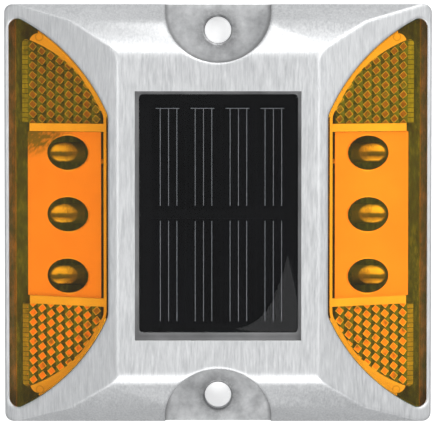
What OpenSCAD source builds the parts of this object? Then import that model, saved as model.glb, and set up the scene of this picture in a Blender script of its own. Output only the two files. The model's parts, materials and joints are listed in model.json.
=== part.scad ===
// Raised pavement marker: a cast aluminium road stud with a solar panel on top and an amber
// lens on each of its two ramps. X runs through the two lenses, Y through the two bolt
// recesses, +Z is up, and the origin is the centre of the face that lies on the road.

/* [Body] */
// Length of the body through the two lenses
body_x = 105; // [105:0.5:107]
// Width of the body through the two bolt recesses
body_y = 102.5; // [102.5:0.5:104]
// Height of the body above the road
body_h = 22; // [22:0.5:23]
// Width of the flat top between the two ramps
plateau_x = 48.2; // [47.8:0.2:48.6]
// Height of the upright edge at the foot of each ramp
ramp_foot = 4; // [3.8:0.1:4.2]
// Height of the upright edge on the bolt sides
edge_h = 5.5; // [5:0.5:6]
// Thickness of the cast walls
wall = 2.6; // [2.4:0.1:2.8]
// Radius of the four upright corners
corner_r = 2; // [1.5:0.5:3]

/* [Shoulder on the bolt sides] */
// Distance from the middle to the centre of the shoulder's curve
shoulder_y = 37.2; // [37:0.1:37.4]
// Radius of the shoulder's curve
shoulder_r = 5.35; // [5:0.05:5.6]
// Slope of the flat below the shoulder's curve, in degrees
shoulder_slope = 45; // [44:1:46]
// Distance from the middle to the crease where the slope gets steeper
crease_y = 47; // [46.5:0.1:47.4]

/* [Bolt recesses] */
// Distance between the two bolt holes
bolt_pitch = 90; // [90:0.2:91]
// Diameter of the bolt holes
bolt_d = 6.5; // [6:0.1:7]
// Radius of the recess round each bolt head
recess_r = 13; // [12.5:0.1:13.2]
// Distance from the middle to the centre of the recess's curve
recess_y = 49.8; // [49.6:0.1:50]
// Thickness of the flange under each bolt head
flange_t = 4; // [3.5:0.1:4.5]

/* [Solar panel] */
// Length of the window along X
window_x = 40; // [39.6:0.2:40.4]
// Length of the window along Y
window_y = 60; // [59.6:0.2:60.4]
// Length of the solar panel along X
panel_x = 38.3; // [38:0.1:38.6]
// Length of the solar panel along Y
panel_y = 57.4; // [57:0.1:57.6]
// Shift of the panel in its window along X, as it was bonded
panel_shift_x = 0.1; // [0:0.1:0.4]
// Shift of the panel in its window along Y, as it was bonded
panel_shift_y = 0.6; // [0:0.1:0.8]
// Depth of the panel's face below the flat top
panel_sunk = 0.7; // [0.6:0.1:0.8]

/* [Lenses] */
// Distance from the middle to the straight inner edge of a lens
lens_in = 26.45; // [26.4:0.05:26.6]
// Distance from the middle to the straight outer edge of a lens
lens_out = 51.4; // [51.3:0.1:51.5]
// Radius of the curved ends of a lens
lens_arc_r = 48.6; // [48.4:0.1:48.8]
// Thickness of the lens's face
lens_t = 1.75; // [1.7:0.05:1.8]
// Thickness of the solid outer wall of a lens
lens_outer_wall = 1.9; // [1.8:0.1:2]
// Thickness of the skirt that holds up the rest of a lens
skirt_t = 0.7; // [0.6:0.05:0.8]

/* [Lamps] */
// Distance between neighbouring lamps
led_pitch = 15; // [14.8:0.1:15.2]
// Diameter of a lamp's round body
led_d = 5; // [4.8:0.1:5]
// Length of a lamp from its flange to the tip of its dome
led_l = 8.7; // [8.5:0.1:8.8]
// Upward tilt of the lamps, in degrees
led_tilt = 8; // [7:0.5:8]
// Diameter of the openings in front of the lamps
aperture_d = 8.4; // [8.2:0.1:8.6]

/* [Underside] */
// Length of the base cover along X
cover_x = 52; // [51.6:0.2:52]
// Length of the base cover along Y
cover_y = 88; // [87.6:0.2:88]
// Thickness of the base cover
cover_t = 1.8; // [1.7:0.1:1.8]
// Thickness of the base gasket
gasket_t = 0.6; // [0.6:0.1:0.7]

/* [Hidden] */
$fn = 48;

LEFT = -1;
RIGHT = 1;
FRONT = -1;
REAR = 1;
SIDES = [LEFT, RIGHT];
FAR = 70; // longer than any half length of the body
OVER = 1; // how far a cut runs past the face where it starts
SLIP = 0.1; // gap between pieces that drop into each other

// The ramp: its height and its slope, at a distance x from the middle
ramp_slope = (body_h - ramp_foot) / (body_x / 2 - plateau_x / 2);
ramp_angle = atan(ramp_slope);
function ramp_z(x) = ramp_foot + (body_x / 2 - x) * ramp_slope;

// Layers under the ramp, as depths square to it
lens_sunk = 0.25;
frame_depth = lens_sunk + lens_t + 0.05;
frame_t = 1.9;
plate_depth = frame_depth + 0.55;
plate_t = 1.2;
peg_depth = frame_depth + 0.5;

// Plan of a lens: its curved ends, and the radius that eases their corners
lens_arc_x = 70.9;
lens_arc_y = 4.5;
lens_ease = [4.5, 2.2]; // at its inner and at its outer corners
well_floor = 2.4;

// Plan of what lies under a lens: the plates and the lands round them
plate_in = 27.9;
plate_out = 46.3;
prism_out = 47.8;
land_out = 45.8;
prism_arc_x = 58.2;
prism_arc_y = 10.84;
prism_arc_r = 34;
prism_ease = [1, 1];
rib_in = 20.2;
rib_t = 1.9;
peg_x = 43.8;
peg_y = 43.1;
peg_r = 0.9;

// Lamps: the centre of each dome, the flange at the back and the openings in front
dome_x = 38.5;
dome_z = 6.8;
led_r = led_d / 2;
led_back = led_l - led_r; // from the centre of the dome to the back of the flange
led_rows = [REAR, 0, FRONT];
flange_r = 2.9;
flange_l = 1;
aperture_x = 36;
aperture_lean = 15.6;

// Lead frame of a lamp, as distances back from the centre of the dome and across
lead_w = 0.5;
lead_gap = 2.54;
lead_end = led_back + 2.6;
lead_neck = led_back - 1.6;
anvil_back = 0.9;
anvil_front = 0.4;
anvil_y = [0.2, 1.9];
post_front = 0.6;
post_y = [0.2, 1.6];

// Heights inside the body
cover_z = 0.2;
gasket_z = cover_z + cover_t;
chamber_floor = gasket_z + gasket_t;
ledge_top = 18.4;
ledge_t = 1.8;
ledge_w = 3.5;
chamber_top = ledge_top - ledge_t;
rebate_w = 2;
chamber_x = cover_x / 2 - rebate_w;
chamber_y = cover_y / 2 - rebate_w;
chamber_r = 3;
recess_wall_r = recess_r + 2.2;
bolt_chamfer = 0.5;

// Grooves that key the adhesive to the underside
groove_w = 2;
body_groove_x = [31, 37, 43];
body_groove_l = 88;
body_groove_d = 0.8;
cover_groove_x = [-18, -9, 0, 9, 18];
cover_groove_l = 60;
cover_groove_d = 0.5;

// Solar panel, from the bottom up
panel_r = 1;
substrate_t = 1.6;
cell_t = 0.25;
grid_t = 0.06;
panel_top = body_h - panel_sunk;
substrate_top = ledge_top + substrate_t;
cell_cols = 4;
cell_pitch = 8.4;
cell_shift_x = 0.6;
cell_w = 7.9;
cell_l = 25.4;
cell_rows = [[13.6, 23.5], [-13.9, 24.2]]; // where each row is, and how long its fingers are
finger_pitch = 2;
finger_w = 0.16;
bar_start = -1.55 * finger_pitch;
bar_l = 2.85 * finger_pitch;
sealant_sunk = 0.9;

// Electronics
board_z = 8;
board_t = 1.6;
board_x = [-3, 22];
board_half_y = 31;
board_holes = [[0.5, 28.5], [19.5, 28.5], [0.5, -28.5], [19.5, -28.5]];
board_screw_r = 1;
board_screw_l = 6.5;
board_head_r = 2;
board_head_t = 1.4;
board_post_r = 2.6;
battery_r = 5.25;
battery_l = 44.5;
battery_x = -14;
pad_size = [8, 36, 1];
battery_z = chamber_floor + pad_size[2] + battery_r;
cap_r = 1.9;
cap_t = 1;
sleeve_t = 0.25;
sleeve_short = 0.2; // bare steel left at each end of the sleeve
tab_size = [3, 0.2, 7];
wire_r = 0.6;
wire_facets = 8;
mitre_over = 1.5; // length added to a run before its end is mitred
plug_size = [6, 4.4, 4.6];
socket_depth = 1;
socket_gap = 1.25;

// Board behind the lamps, and the way through the wall for its wires
led_board_t = 1.2;
led_board_y = 40;
led_board_h = 6.6;
resistor_size = [3.2, 1.6, 0.6];
resistor_y = [-7.5, 7.5];
passage_y = 12;
passage_z = 6.4;
passage_r = 2;
passage_l = 6;
led_board_depth = led_back + SLIP + led_board_t;
led_board_back = dome_x - led_board_depth * cos(led_tilt)
  + (dome_z - led_board_depth * sin(led_tilt) - passage_z) * tan(led_tilt);

// Countersunk screws that hold the base cover
cover_screws_at = [[20.3, 38.4], [-20.3, 38.4], [20.3, -38.4], [-20.3, -38.4]];
cover_screw_r = 1.45;
cover_screw_l = 10;
cover_head_r = 2.85;
cover_head_t = 1.4;
cover_post_r = 3.3;
post_root = 0.5; // how far a post runs up into the casting

// The corner of an outline moved inwards, where the edges that meet have the outward normals a and b
function inset_corner(corner, a, b, inset) = corner - inset * (a + b) / (1 + a * b);
function unit(v) = v / norm(v);

module on_side(side) {
  mirror([side == LEFT ? 1 : 0, 0, 0]) children();
}

module at_end(end) {
  mirror([0, end == FRONT ? 1 : 0, 0]) children();
}

module rounded_rectangle(x, y, r) {
  square([x - 2 * r, y], center = true);
  square([x, y - 2 * r], center = true);
  for (sx = SIDES, sy = SIDES)
    translate([sx * (x / 2 - r), sy * (y / 2 - r)]) circle(r);
}

// A length of the body's section across the recesses, drawn in Y and Z
module side_section(inset) {
  slope_up = [sin(shoulder_slope), cos(shoulder_slope)];
  r = shoulder_r - inset;
  centre = [shoulder_y, body_h - shoulder_r];
  tangent = centre + r * slope_up;
  outer_tangent = centre + shoulder_r * slope_up;
  crease = [crease_y, outer_tangent[1] - (crease_y - outer_tangent[0]) * tan(shoulder_slope)];
  foot = [body_y / 2, edge_h];
  steep_up = unit([crease[1] - foot[1], foot[0] - crease[0]]);
  half = [
    [foot[0] - inset, 0],
    inset_corner(foot, [1, 0], steep_up, inset),
    inset_corner(crease, steep_up, slope_up, inset),
    tangent,
    centre + [0, r]
  ];
  polygon(concat(half, [for (i = [len(half) - 1:-1:0]) [-half[i][0], half[i][1]]]));
  for (s = SIDES)
    translate([s * centre[0], centre[1]]) circle(r);
}

// A length of the body's section through the lenses, drawn in X and Z
module ramp_section(inset) {
  ramp_up = [sin(ramp_angle), cos(ramp_angle)];
  foot = inset_corner([body_x / 2, ramp_foot], [1, 0], ramp_up, inset);
  top = inset_corner([plateau_x / 2, body_h], ramp_up, [0, 1], inset);
  polygon([[-foot[0], 0], [foot[0], 0], foot, top, [-top[0], top[1]], [-foot[0], foot[1]]]);
}

// What both sections of the body enclose
module body_envelope(inset = 0) {
  intersection() {
    rotate([90, 0, 90]) linear_extrude(2 * FAR, center = true) side_section(inset);
    rotate([90, 0, 0]) linear_extrude(2 * FAR, center = true) ramp_section(inset);
    linear_extrude(body_h) rounded_rectangle(body_x - 2 * inset, body_y - 2 * inset, corner_r);
  }
}

// A half disc with its two sharp corners eased: the plan of one curved end, for y above 0
module curved_end(x_in, x_out, arc, arc_r, ease) {
  reach = [arc_r - ease[0], arc_r - ease[1]];
  ease_x = [x_in + ease[0], x_out - ease[1]];
  edge_x = [x_in, x_out];
  ease_at = [for (i = [0, 1]) [ease_x[i], arc[1] + sqrt(pow(reach[i], 2) - pow(ease_x[i] - arc[0], 2))]];
  difference() {
    intersection() {
      translate(arc) circle(arc_r);
      translate([x_in, 0]) square([x_out - x_in, FAR]);
    }
    for (i = [0, 1])
      polygon([
        ease_at[i],
        [edge_x[i], ease_at[i][1]],
        [edge_x[i] + (i == 0 ? -1 : 1), ease_at[i][1]],
        [edge_x[i] + (i == 0 ? -1 : 1), FAR],
        [ease_at[i][0], FAR],
        arc + (ease_at[i] - arc) * arc_r / reach[i]
      ]);
  }
  for (i = [0, 1])
    translate(ease_at[i]) circle(ease[i]);
}

// Plan of a lens on the right, drawn inwards by inset
module lens_plan(inset) {
  for (end = [FRONT, REAR])
    at_end(end)
      curved_end(lens_in + inset, lens_out - inset, [lens_arc_x, lens_arc_y],
                 lens_arc_r - inset, [lens_ease[0] - inset, lens_ease[1] - inset]);
}

// Plan of a prism plate at the right rear, drawn inwards by inset
module prism_plan(inset) {
  intersection() {
    curved_end(plate_in + inset, prism_out - inset, [prism_arc_x, prism_arc_y],
               prism_arc_r - inset, prism_ease);
    translate([plate_in, rib_in + rib_t + inset]) square(FAR);
    lens_plan(2 * SLIP + skirt_t + inset);
  }
}

// The slab between two depths square to the right ramp
module ramp_layer(depth, thickness, x_in = 0, x_out = FAR) {
  drop = [depth, depth + thickness] / cos(ramp_angle);
  rotate([90, 0, 0])
    linear_extrude(2 * FAR, center = true)
      polygon([
        [x_in, ramp_z(x_in) - drop[0]],
        [x_out, ramp_z(x_out) - drop[0]],
        [x_out, ramp_z(x_out) - drop[1]],
        [x_in, ramp_z(x_in) - drop[1]]
      ]);
}

module recess_plan(r) {
  translate([0, recess_y]) circle(r);
  translate([-r, recess_y]) square([2 * r, FAR]);
}

// Plan of the chamber for the electronics, or of the base cover, grown by grow
module chamber_plan(grow) {
  difference() {
    rounded_rectangle(2 * (chamber_x + grow), 2 * (chamber_y + grow), chamber_r);
    for (end = [FRONT, REAR])
      at_end(end) recess_plan(recess_wall_r - grow);
  }
}

// Grooves along Y, cut upwards from the height z
module key_grooves(places, length, z, depth) {
  for (x = places)
    translate([x - groove_w / 2, -length / 2, z - OVER]) cube([groove_w, length, depth + OVER]);
}

// Way through the wall between the chamber and a well, for the wires of the lamps
module wire_passage() {
  translate([chamber_x - OVER, passage_y, passage_z])
    rotate([0, 90, 0]) cylinder(r = passage_r, h = passage_l);
}

module housing() {
  color("silver")
  difference() {
    union() {
      difference() {
        body_envelope();
        translate([0, 0, -OVER]) linear_extrude(chamber_top + OVER) chamber_plan(0);
      }
      // Posts for the board and for the cover's screws
      for (at = board_holes)
        translate([at[0], at[1], board_z + board_t])
          cylinder(r = board_post_r, h = chamber_top + post_root - board_z - board_t);
      for (at = cover_screws_at)
        translate([at[0], at[1], chamber_floor])
          cylinder(r = cover_post_r, h = chamber_top + post_root - chamber_floor);
    }
    // Rebate for the cover and its gasket
    translate([0, 0, -OVER]) linear_extrude(chamber_floor + OVER) chamber_plan(rebate_w);
    // Window, and the opening inside the ledge that carries the panel
    translate([-window_x / 2, -window_y / 2, ledge_top]) cube([window_x, window_y, body_h]);
    translate([0, 0, chamber_top - OVER])
      linear_extrude(body_h)
        rounded_rectangle(window_x - 2 * ledge_w, window_y - 2 * ledge_w, 2);
    for (side = SIDES)
      on_side(side) {
        translate([0, 0, well_floor]) linear_extrude(body_h) lens_plan(0);
        wire_passage();
        key_grooves(body_groove_x, body_groove_l, 0, body_groove_d);
      }
    for (end = [FRONT, REAR])
      at_end(end) {
        translate([0, 0, flange_t]) linear_extrude(body_h) recess_plan(recess_r);
        translate([0, bolt_pitch / 2, -OVER]) cylinder(d = bolt_d, h = flange_t + 2 * OVER);
        // Chamfer round the top of the bolt hole
        translate([0, bolt_pitch / 2, flange_t - bolt_chamfer])
          cylinder(r1 = bolt_d / 2 - SLIP / 10, r2 = bolt_d / 2 + 2 * bolt_chamfer - SLIP / 10,
                   h = 2 * bolt_chamfer);
      }
    for (at = board_holes)
      translate([at[0], at[1], board_z]) cylinder(r = board_screw_r + 0.05, h = 7);
    for (at = cover_screws_at)
      translate([at[0], at[1], 0]) cylinder(r = cover_screw_r + 0.05, h = 12);
  }
}

// Clear amber cover: a face that follows the ramp, and a solid wall at its foot
module lens() {
  color("orange", 0.6)
  difference() {
    intersection() {
      translate([0, 0, well_floor]) linear_extrude(body_h) lens_plan(SLIP);
      ramp_layer(lens_sunk, FAR);
    }
    intersection() {
      translate([0, -FAR, -OVER]) cube([lens_out - lens_outer_wall, 2 * FAR, body_h]);
      ramp_layer(lens_sunk + lens_t, FAR);
    }
  }
}

// Plan of the land round the right rear prism plate, with the rib beside the lamp plate
module land_plan() {
  difference() {
    intersection() {
      translate([0, rib_in]) square([land_out, FAR]);
      union() {
        curved_end(plate_in, land_out, [lens_arc_x, lens_arc_y], lens_arc_r - SLIP, lens_ease);
        intersection() {
          lens_plan(SLIP);
          translate([0, rib_in]) square([land_out, rib_t]);
        }
      }
    }
    prism_plan(0);
  }
}

// White moulding on the floor of the well: a skirt that holds up the lens, the lands, ribs and pegs
module reflector_frame() {
  color("orange")
  difference() {
    union() {
      intersection() {
        ramp_layer(frame_depth, FAR);
        translate([0, 0, well_floor])
          linear_extrude(body_h)
            intersection() {
              difference() {
                lens_plan(SLIP);
                lens_plan(SLIP + skirt_t);
              }
              translate([0, -FAR]) square([land_out - lens_ease[1], 2 * FAR]);
            }
      }
      for (end = [FRONT, REAR])
        at_end(end) {
          intersection() {
            ramp_layer(frame_depth, frame_t);
            linear_extrude(body_h) land_plan();
          }
          intersection() {
            translate([peg_x, peg_y, well_floor]) cylinder(r = peg_r, h = body_h);
            ramp_layer(peg_depth, FAR);
          }
        }
    }
    wire_passage();
  }
}

module prism_plate() {
  color("chocolate")
  intersection() {
    ramp_layer(plate_depth, plate_t);
    linear_extrude(body_h) prism_plan(SLIP);
  }
}

// Plate between the ribs, with an opening in front of each lamp
module led_plate() {
  color("darkorange")
  difference() {
    intersection() {
      ramp_layer(plate_depth, plate_t);
      translate([plate_in, -rib_in + SLIP, 0])
        cube([plate_out - plate_in, 2 * (rib_in - SLIP), body_h]);
    }
    for (row = led_rows)
      translate([aperture_x, row * led_pitch,
                 ramp_z(aperture_x) - plate_depth / cos(ramp_angle)])
        rotate([0, -aperture_lean, 0]) cylinder(d = aperture_d, h = body_h, center = true);
  }
}

// Puts a shape drawn along +Z, with the centre of its dome at the origin, where a lamp is
module at_led(row) {
  translate([dome_x, row * led_pitch, dome_z])
    rotate([0, 90 - led_tilt, 0]) children();
}

// Two flat leads, which widen inside the lamp into the anvil and the post
module leadframe() {
  inner = lead_gap / 2 - lead_w / 2;
  outer = lead_gap / 2 + lead_w / 2;
  rotate([0, 90, 0])
    linear_extrude(lead_w, center = true) {
      polygon([
        [lead_end, inner],
        [lead_end, outer],
        [lead_neck, outer],
        [anvil_back, anvil_y[1]],
        [anvil_front, anvil_y[1]],
        [anvil_front, anvil_y[0]],
        [anvil_back, anvil_y[0]],
        [lead_neck, inner]
      ]);
      polygon([
        [lead_end, -inner],
        [lead_end, -outer],
        [lead_neck, -outer],
        [post_front, -post_y[1]],
        [post_front, -post_y[0]],
        [lead_neck, -inner]
      ]);
    }
}

module led_body() {
  color("gold", 0.6)
  difference() {
    union() {
      sphere(led_r);
      translate([0, 0, -led_back]) cylinder(r = led_r, h = led_back);
      translate([0, 0, -led_back]) cylinder(r = flange_r, h = flange_l);
    }
    leadframe();
  }
}

// Board behind the lamps, square to them, with a hole for each lead
module led_board() {
  color("darkgreen")
  difference() {
    at_led(0)
      translate([-led_board_h / 2, -led_board_y / 2, -led_board_depth])
        cube([led_board_h, led_board_y, led_board_t]);
    for (row = led_rows)
      at_led(row)
        for (s = SIDES)
          translate([0, s * lead_gap / 2, -led_board_depth - OVER])
            cylinder(r = 0.45, h = led_board_t + 2 * OVER);
  }
}

module led_resistors() {
  color("dimgray")
    for (y = resistor_y)
      at_led(0)
        translate([-resistor_size[0] / 2, y - resistor_size[1] / 2,
                   -led_board_depth - resistor_size[2]])
          cube(resistor_size);
}

module on_panel(z) {
  translate([panel_shift_x, panel_shift_y, z]) children();
}

module panel_substrate() {
  color("darkslategray")
    on_panel(ledge_top) linear_extrude(substrate_t) rounded_rectangle(panel_x, panel_y, panel_r);
}

function cell_x(col) = cell_shift_x + (col - (cell_cols - 1) / 2) * cell_pitch;

module solar_cells() {
  color([0.04, 0.04, 0.06])
    for (col = [0:cell_cols - 1], row = cell_rows)
      on_panel(substrate_top)
        translate([cell_x(col) - cell_w / 2, row[0] - cell_l / 2, 0]) cube([cell_w, cell_l, cell_t]);
}

// Three fingers on each cell, and a bar across their ends on the rear row
module cell_grid() {
  color("gray")
    for (col = [0:cell_cols - 1], row = cell_rows)
      on_panel(substrate_top + cell_t)
        translate([cell_x(col), row[0], 0]) {
          for (i = [-1:1])
            translate([i * finger_pitch - finger_w / 2, -row[1] / 2, 0])
              cube([finger_w, row[1], grid_t]);
          if (row[0] > 0)
            translate([bar_start, row[1] / 2 - finger_w, 0]) cube([bar_l, finger_w, grid_t]);
        }
}

module panel_cover() {
  color([0.1, 0.1, 0.12], 0.5)
  difference() {
    on_panel(substrate_top)
      linear_extrude(panel_top - substrate_top) rounded_rectangle(panel_x, panel_y, panel_r);
    solar_cells();
    cell_grid();
  }
}

// Bead of sealant in the gap between the panel and its window
module panel_sealant() {
  color("dimgray")
  translate([0, 0, ledge_top])
    linear_extrude(body_h - sealant_sunk - ledge_top)
      difference() {
        square([window_x, window_y], center = true);
        translate([panel_shift_x, panel_shift_y]) rounded_rectangle(panel_x, panel_y, panel_r);
      }
}

module main_board() {
  color("darkgreen")
  difference() {
    translate([board_x[0], -board_half_y, board_z])
      cube([board_x[1] - board_x[0], 2 * board_half_y, board_t]);
    for (at = board_holes)
      translate([at[0], at[1], board_z - OVER])
        cylinder(r = board_screw_r + 0.2, h = board_t + 2 * OVER);
  }
}

module on_board(x, y) {
  translate([x, y, board_z + board_t]) children();
}

// Eight-pin chip: its body, and a row of bent pins on each side
module controller_chip() {
  chip = [4.9, 3.9, 1.45];
  pin = [0.4, 1.1, 0.2];
  pin_pitch = 1.27;
  pin_y = 2.5;
  color("black")
    on_board(7, 2) {
      translate([-chip[0] / 2, -chip[1] / 2, 0.15]) cube(chip);
      for (s = SIDES, i = [-1.5:1.5])
        translate([i * pin_pitch - pin[0] / 2, s * pin_y - pin[1] / 2, 0]) cube(pin);
    }
}

// Ferrite bobbin: a core between two flanges
module inductor() {
  flange = 0.9;
  height = 4.5;
  color("saddlebrown")
    on_board(13, -10) {
      cylinder(r = 4, h = flange);
      cylinder(r = 2.6, h = height);
      translate([0, 0, height - flange]) cylinder(r = 4, h = flange);
    }
}

// Can on a square foot
module capacitor() {
  foot = [5.2, 5.2, 0.8];
  color("slategray")
    on_board(2.5, -11) {
      cylinder(r = 2.5, h = 4.9);
      translate([-foot[0] / 2, -foot[1] / 2, 0]) cube(foot);
    }
}

// Moulded body with a flat tab at each end
module diode() {
  body = [4.2, 2.6, 2];
  tab = [1.2, 1.4, 0.3];
  tab_x = 2.2;
  color("black")
    on_board(14, 3) {
      translate([-body[0] / 2, -body[1] / 2, 0.1]) cube(body);
      for (s = SIDES)
        translate([s * tab_x - tab[0] / 2, -tab[1] / 2, 0]) cube(tab);
    }
}

// Two-way plug and socket, standing on the board, with its wires leaving at the top
module two_way_plug(at, turned = 0) {
  on_board(at[0], at[1])
    rotate(turned)
      difference() {
        translate([-plug_size[0] / 2, -plug_size[1] / 2, 0]) cube(plug_size);
        for (s = SIDES)
          translate([s * socket_gap, 0, plug_size[2] - socket_depth])
            cylinder(r = wire_r, h = socket_depth + OVER);
      }
}

module board_screws() {
  socket_r = 0.9;
  socket_d = 0.7;
  color("lightgray")
    for (at = board_holes)
      translate([at[0], at[1], board_z]) {
        cylinder(r = board_screw_r, h = board_screw_l);
        difference() {
          translate([0, 0, -board_head_t]) cylinder(r = board_head_r, h = board_head_t);
          translate([0, 0, -board_head_t - OVER])
            cylinder(r = socket_r, h = socket_d + OVER, $fn = 6);
        }
      }
}

module along_battery(y) {
  translate([battery_x, y, battery_z]) rotate([-90, 0, 0]) children();
}

module battery_can() {
  color("silver")
    along_battery(-battery_l / 2) cylinder(r = battery_r - sleeve_t, h = battery_l - cap_t);
}

module battery_cap() {
  color("gainsboro") along_battery(battery_l / 2 - cap_t) cylinder(r = cap_r, h = cap_t);
}

module battery_sleeve() {
  sleeve_l = battery_l - cap_t - 2 * sleeve_short;
  color("seagreen")
    along_battery(-battery_l / 2 + sleeve_short)
      difference() {
        cylinder(r = battery_r, h = sleeve_l);
        translate([0, 0, -OVER]) cylinder(r = battery_r - sleeve_t, h = sleeve_l + 2 * OVER);
      }
}

// Welded strip on each end of the battery
module battery_tabs() {
  color("lightgray")
    for (y = [-battery_l / 2 - tab_size[1], battery_l / 2])
      translate([battery_x - tab_size[0] / 2, y, battery_z - 2]) cube(tab_size);
}

module battery_pad() {
  color("dimgray")
    translate([battery_x - pad_size[0] / 2, -pad_size[1] / 2, chamber_floor]) cube(pad_size);
}

// Half of space: all that lies beyond the point, going the given way
module beyond(point, way) {
  translate(point)
    rotate([0, acos(way[2]), atan2(way[1], way[0])])
      translate([-FAR, -FAR, 0]) cube(2 * FAR);
}

// A thin wire through the points, mitred at each bend
module wire(points) {
  last = len(points) - 1;
  way = [for (i = [0:last - 1]) unit(points[i + 1] - points[i])];
  for (i = [0:last - 1]) {
    start_over = i == 0 ? 0 : mitre_over;
    end_over = i == last - 1 ? 0 : mitre_over;
    intersection() {
      translate(points[i] - start_over * way[i])
        rotate([0, acos(way[i][2]), atan2(way[i][1], way[i][0])])
          cylinder(r = wire_r, h = norm(points[i + 1] - points[i]) + start_over + end_over,
                   $fn = wire_facets);
      if (i > 0) beyond(points[i], unit(way[i - 1] + way[i]));
      if (i < last - 1) beyond(points[i + 1], -unit(way[i] + way[i + 1]));
    }
  }
}

// Where the wires meet the plugs on the board: each plug's place, then its two sockets
plug_top = board_z + board_t + plug_size[2] - socket_depth;
panel_plug_at = [9, 19];
battery_plug_at = [5, -20];
led_plug_at = [[17.5, 15], [17.5, -20]]; // for the left lamps, then for the right ones
function socket_at(at, side, along_y) =
  [at[0] + (along_y ? 0 : side * socket_gap), at[1] + (along_y ? side * socket_gap : 0), plug_top];

module panel_wire(side) {
  start = socket_at(panel_plug_at, side, false);
  x = panel_plug_at[0] + side * 1.7;
  wire([start, start + [0, 0, 2.1], [x, 23.4, 16.2], [x, 23.4, ledge_top]]);
}

module battery_wire(side) {
  start = socket_at(battery_plug_at, side, true);
  end_y = side * (battery_l / 2 + tab_size[1] + wire_r);
  wire([start, start + [0, 0, 1.8], [-3.5, -20 + side * 1.7, 15.2],
        [-6.4 + side * 0.5, side < 0 ? end_y + 3 : 0, 15.1],
        [-7, end_y - side * 2.5, 14.9], [battery_x + 0.8, end_y, 14.7],
        [battery_x + 0.8, end_y, battery_z + 4]]);
}

// From the lamps' board, through the passage in the wall, to the plug on the main board
module led_wire(side, row) {
  start = socket_at(led_plug_at[side == LEFT ? 0 : 1], row, true);
  passing_y = passage_y + row * 0.8;
  board_end = [side * (led_board_back - wire_r * tan(led_tilt)), passing_y, passage_z];
  inside = [side * (chamber_x - 1.4), passing_y, passage_z];
  if (side == RIGHT)
    wire([start, start + [0, 0, 2.35 + row * 0.35], [22.6, -18 + row * 0.5, 15.15 + row * 0.75],
          [22.6, passing_y, 13.2 + row * 0.9], inside + [0, 0, 1.6], inside + [0.9, 0, 0], board_end]);
  else
    wire([start, start + [0, 0, 2.2], [3, passage_y + row * 1.4, 17.2],
          [battery_x, passage_y + row * 1.2, 15.4], [-21.8, passage_y + row, 12.6],
          inside + [0, 0, 1.6], inside + [-0.9, 0, 0], board_end]);
}

module base_gasket() {
  color("black")
  translate([0, 0, gasket_z])
    linear_extrude(gasket_t)
      difference() {
        chamber_plan(rebate_w - SLIP);
        chamber_plan(0);
      }
}

module base_cover() {
  color("gray")
  difference() {
    translate([0, 0, cover_z]) linear_extrude(cover_t) chamber_plan(rebate_w - SLIP);
    for (at = cover_screws_at)
      translate([at[0], at[1], cover_z]) {
        translate([0, 0, -OVER]) cylinder(r = cover_screw_r + 0.2, h = cover_t + 2 * OVER);
        translate([0, 0, -0.01])
          cylinder(r1 = cover_head_r + 0.15, r2 = cover_screw_r + 0.15, h = cover_head_t);
      }
    key_grooves(cover_groove_x, cover_groove_l, cover_z, cover_groove_d);
  }
}

module cover_screws() {
  socket_r = 1.1;
  socket_d = 1;
  color("lightgray")
    for (at = cover_screws_at)
      translate([at[0], at[1], cover_z])
        difference() {
          union() {
            cylinder(r = cover_screw_r, h = cover_screw_l);
            cylinder(r1 = cover_head_r, r2 = cover_screw_r, h = cover_head_t);
          }
          translate([0, 0, -OVER]) cylinder(r = socket_r, h = socket_d + OVER, $fn = 6);
        }
}

SIDE_NAMES = [[LEFT, "left"], [RIGHT, "right"]];
END_NAMES = [[REAR, "rear"], [FRONT, "front"]];
ROW_NAMES = [[REAR, "rear"], [0, "middle"], [FRONT, "front"]];

housing();
for (side = SIDE_NAMES) {
  on_side(side[0]) lens();
  on_side(side[0]) reflector_frame();
  on_side(side[0]) led_plate();
  on_side(side[0]) led_board();
  on_side(side[0]) led_resistors();
  color("gold") led_wire(side[0], 1);
  color("black") led_wire(side[0], -1);
  color("lightgray") on_side(side[0]) for (row = led_rows) at_led(row) leadframe();
  for (end = END_NAMES)
    on_side(side[0]) at_end(end[0]) prism_plate();
  for (row = ROW_NAMES)
    on_side(side[0]) at_led(row[0]) led_body();
}
panel_substrate();
solar_cells();
cell_grid();
panel_cover();
panel_sealant();
main_board();
controller_chip();
inductor();
capacitor();
diode();
color("ivory") two_way_plug(panel_plug_at);  // panel_plug
color("ivory") two_way_plug(battery_plug_at, 90);  // battery_plug
color("ivory") for (at = led_plug_at) two_way_plug(at, 90);  // led_plugs
board_screws();
battery_can();
battery_cap();
battery_sleeve();
battery_tabs();
battery_pad();
color("red") panel_wire(1);  // panel_wire_red
color("black") panel_wire(-1);  // panel_wire_black
color("red") battery_wire(1);  // battery_wire_red
color("black") battery_wire(-1);  // battery_wire_black
base_gasket();
base_cover();
cover_screws();
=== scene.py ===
"""Looks of a raised pavement marker: cast body, amber lenses over prisms and lamps, solar panel.

Everything is in metres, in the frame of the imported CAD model.
"""
import json
import math

import bmesh
import bpy
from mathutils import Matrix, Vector


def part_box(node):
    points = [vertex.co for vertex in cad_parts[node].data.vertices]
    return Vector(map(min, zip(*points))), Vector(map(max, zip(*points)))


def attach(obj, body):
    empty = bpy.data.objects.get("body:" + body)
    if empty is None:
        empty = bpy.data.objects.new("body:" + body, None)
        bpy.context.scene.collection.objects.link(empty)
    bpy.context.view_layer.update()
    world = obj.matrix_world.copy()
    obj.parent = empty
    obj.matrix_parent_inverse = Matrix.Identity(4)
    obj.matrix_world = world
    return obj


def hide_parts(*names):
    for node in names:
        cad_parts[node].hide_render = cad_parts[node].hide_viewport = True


MM = 0.001
BODY = "root"
SIDES = {"left": -1, "right": 1}
ENDS = {"rear": 1, "front": -1}
ROWS = ("rear", "middle", "front")

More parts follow.
